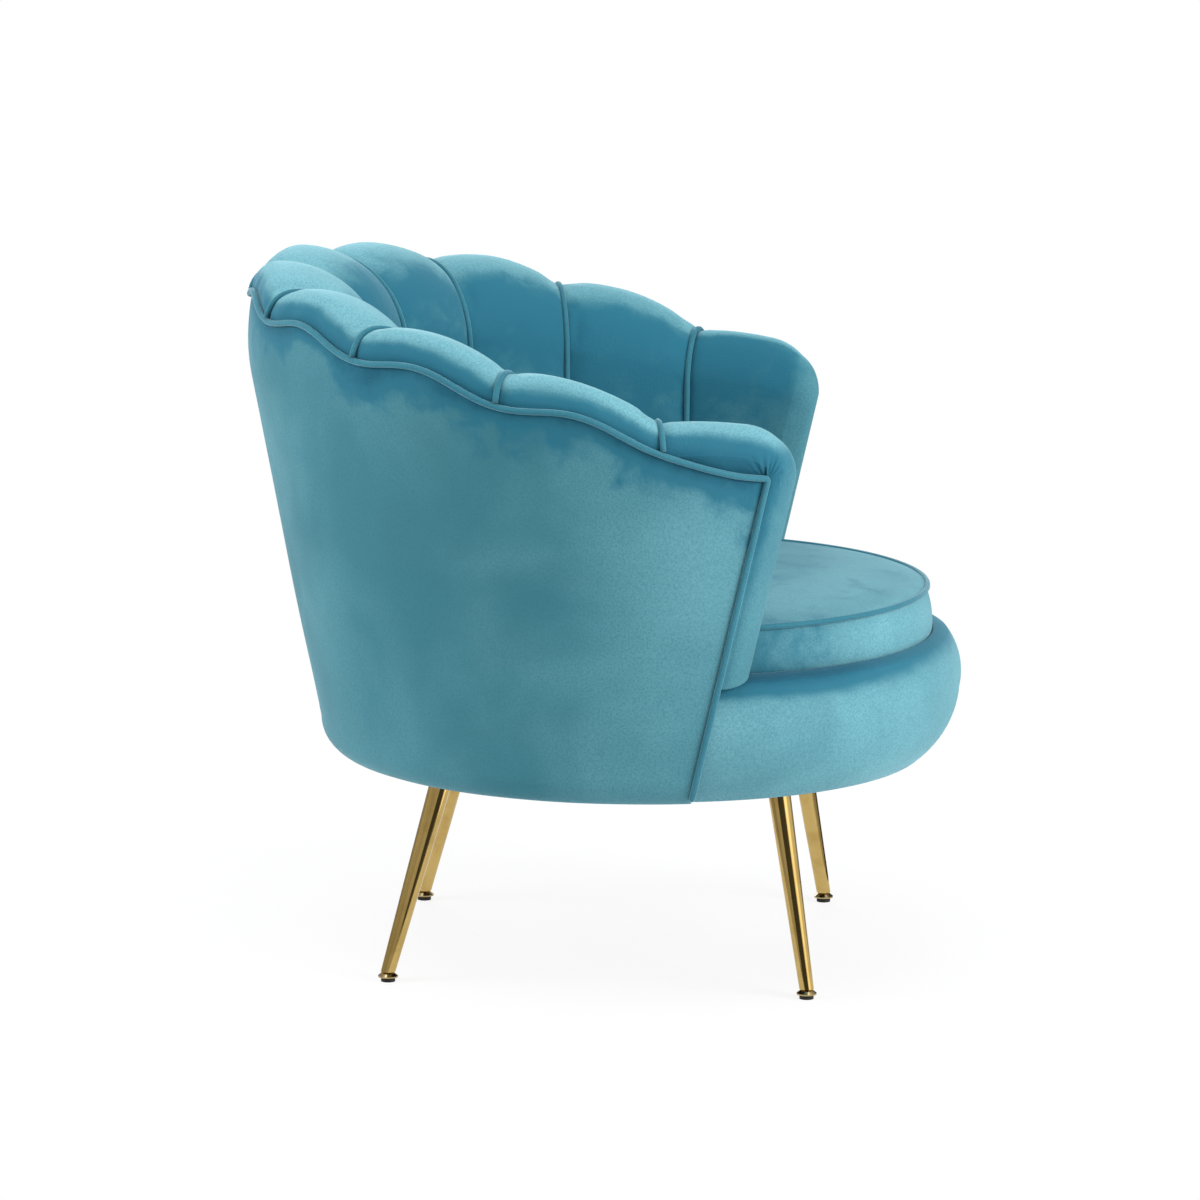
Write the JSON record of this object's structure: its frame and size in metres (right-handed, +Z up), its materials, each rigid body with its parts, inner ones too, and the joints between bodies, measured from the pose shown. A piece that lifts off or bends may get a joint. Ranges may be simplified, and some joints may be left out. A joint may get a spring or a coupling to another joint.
{
  "type": "tub armchair",
  "caption": "Tub armchair with a scalloped channel-padded velvet back wrapping into the arms, a loose round seat cushion and splayed tapered metal legs on levelling glides.",
  "frame": {"origin": "on the floor under the middle of the chair", "axes": "+Z up, front of the seat towards -Y, the sitter's left towards +X"},
  "size_m": [0.7492, 0.7408, 0.7193],
  "materials": {
    "velvet": "short pile velvet with a visible nap",
    "velvet_piping": "velvet wrapped on cord",
    "frame_wood": "plain sawn wood and plywood",
    "webbing": "woven elastic strap",
    "foam": "open cell foam",
    "dust_cloth": "non-woven cloth",
    "steel": "zinc plated",
    "zip_tape": "coil zip",
    "gold_plate": "mirror gold plate on steel tube",
    "bright_metal": "bright nickel plate",
    "pad_plastic": "moulded"
  },
  "bodies": {
    "chair": {"petal_1": "velvet", "petal_2": "velvet", "petal_3": "velvet", "petal_4": "velvet", "petal_5": "velvet", "petal_6": "velvet", "petal_7": "velvet", "petal_8": "velvet", "petal_9": "velvet", "petal_10": "velvet", "outer_panel": "velvet", "base_cover": "velvet", "channel_piping": "velvet_piping", "outer_piping": "velvet_piping", "back_post_1": "frame_wood", "back_post_2": "frame_wood", "back_post_3": "frame_wood", "back_post_4": "frame_wood", "back_post_5": "frame_wood", "back_post_6": "frame_wood", "back_post_7": "frame_wood", "arm_post_right": "frame_wood", "arm_post_left": "frame_wood", "rim_rail": "frame_wood", "ring_lower": "frame_wood", "ring_upper": "frame_wood", "spacer_blocks": "frame_wood", "inner_liner": "frame_wood", "webbing_long": "webbing", "webbing_cross": "webbing", "base_pad": "foam", "dust_cover": "dust_cloth", "dust_staples": "steel", "leg_screws": "steel", "leg_front_right": "gold_plate", "leg_front_left": "gold_plate", "leg_rear_right": "gold_plate", "leg_rear_left": "gold_plate"},
    "seat_cushion": {"cushion_cover": "velvet", "cushion_foam": "foam", "cushion_piping_top": "velvet_piping", "cushion_piping_bottom": "velvet_piping", "cushion_zip": "zip_tape"},
    "glide_front_right": {"glide_pad_front_right": "pad_plastic", "glide_stud_front_right": "bright_metal"},
    "glide_front_left": {"glide_pad_front_left": "pad_plastic", "glide_stud_front_left": "bright_metal"},
    "glide_rear_right": {"glide_pad_rear_right": "pad_plastic", "glide_stud_rear_right": "bright_metal"},
    "glide_rear_left": {"glide_pad_rear_left": "pad_plastic", "glide_stud_rear_left": "bright_metal"}
  },
  "joints": [
    {"name": "cushion_lift", "type": "slide", "parent": "chair", "child": "seat_cushion", "axis": [0, 0, 1], "range_m": [0, 0.4]},
    {"name": "glide_travel_front_right", "type": "slide", "parent": "chair", "child": "glide_front_right", "axis": [0, 0, -1], "range_m": [0, 0.008]},
    {"name": "glide_travel_front_left", "type": "slide", "parent": "chair", "child": "glide_front_left", "axis": [0, 0, -1], "range_m": [0, 0.008]},
    {"name": "glide_travel_rear_right", "type": "slide", "parent": "chair", "child": "glide_rear_right", "axis": [0, 0, -1], "range_m": [0, 0.008]},
    {"name": "glide_travel_rear_left", "type": "slide", "parent": "chair", "child": "glide_rear_left", "axis": [0, 0, -1], "range_m": [0, 0.008]}
  ]
}
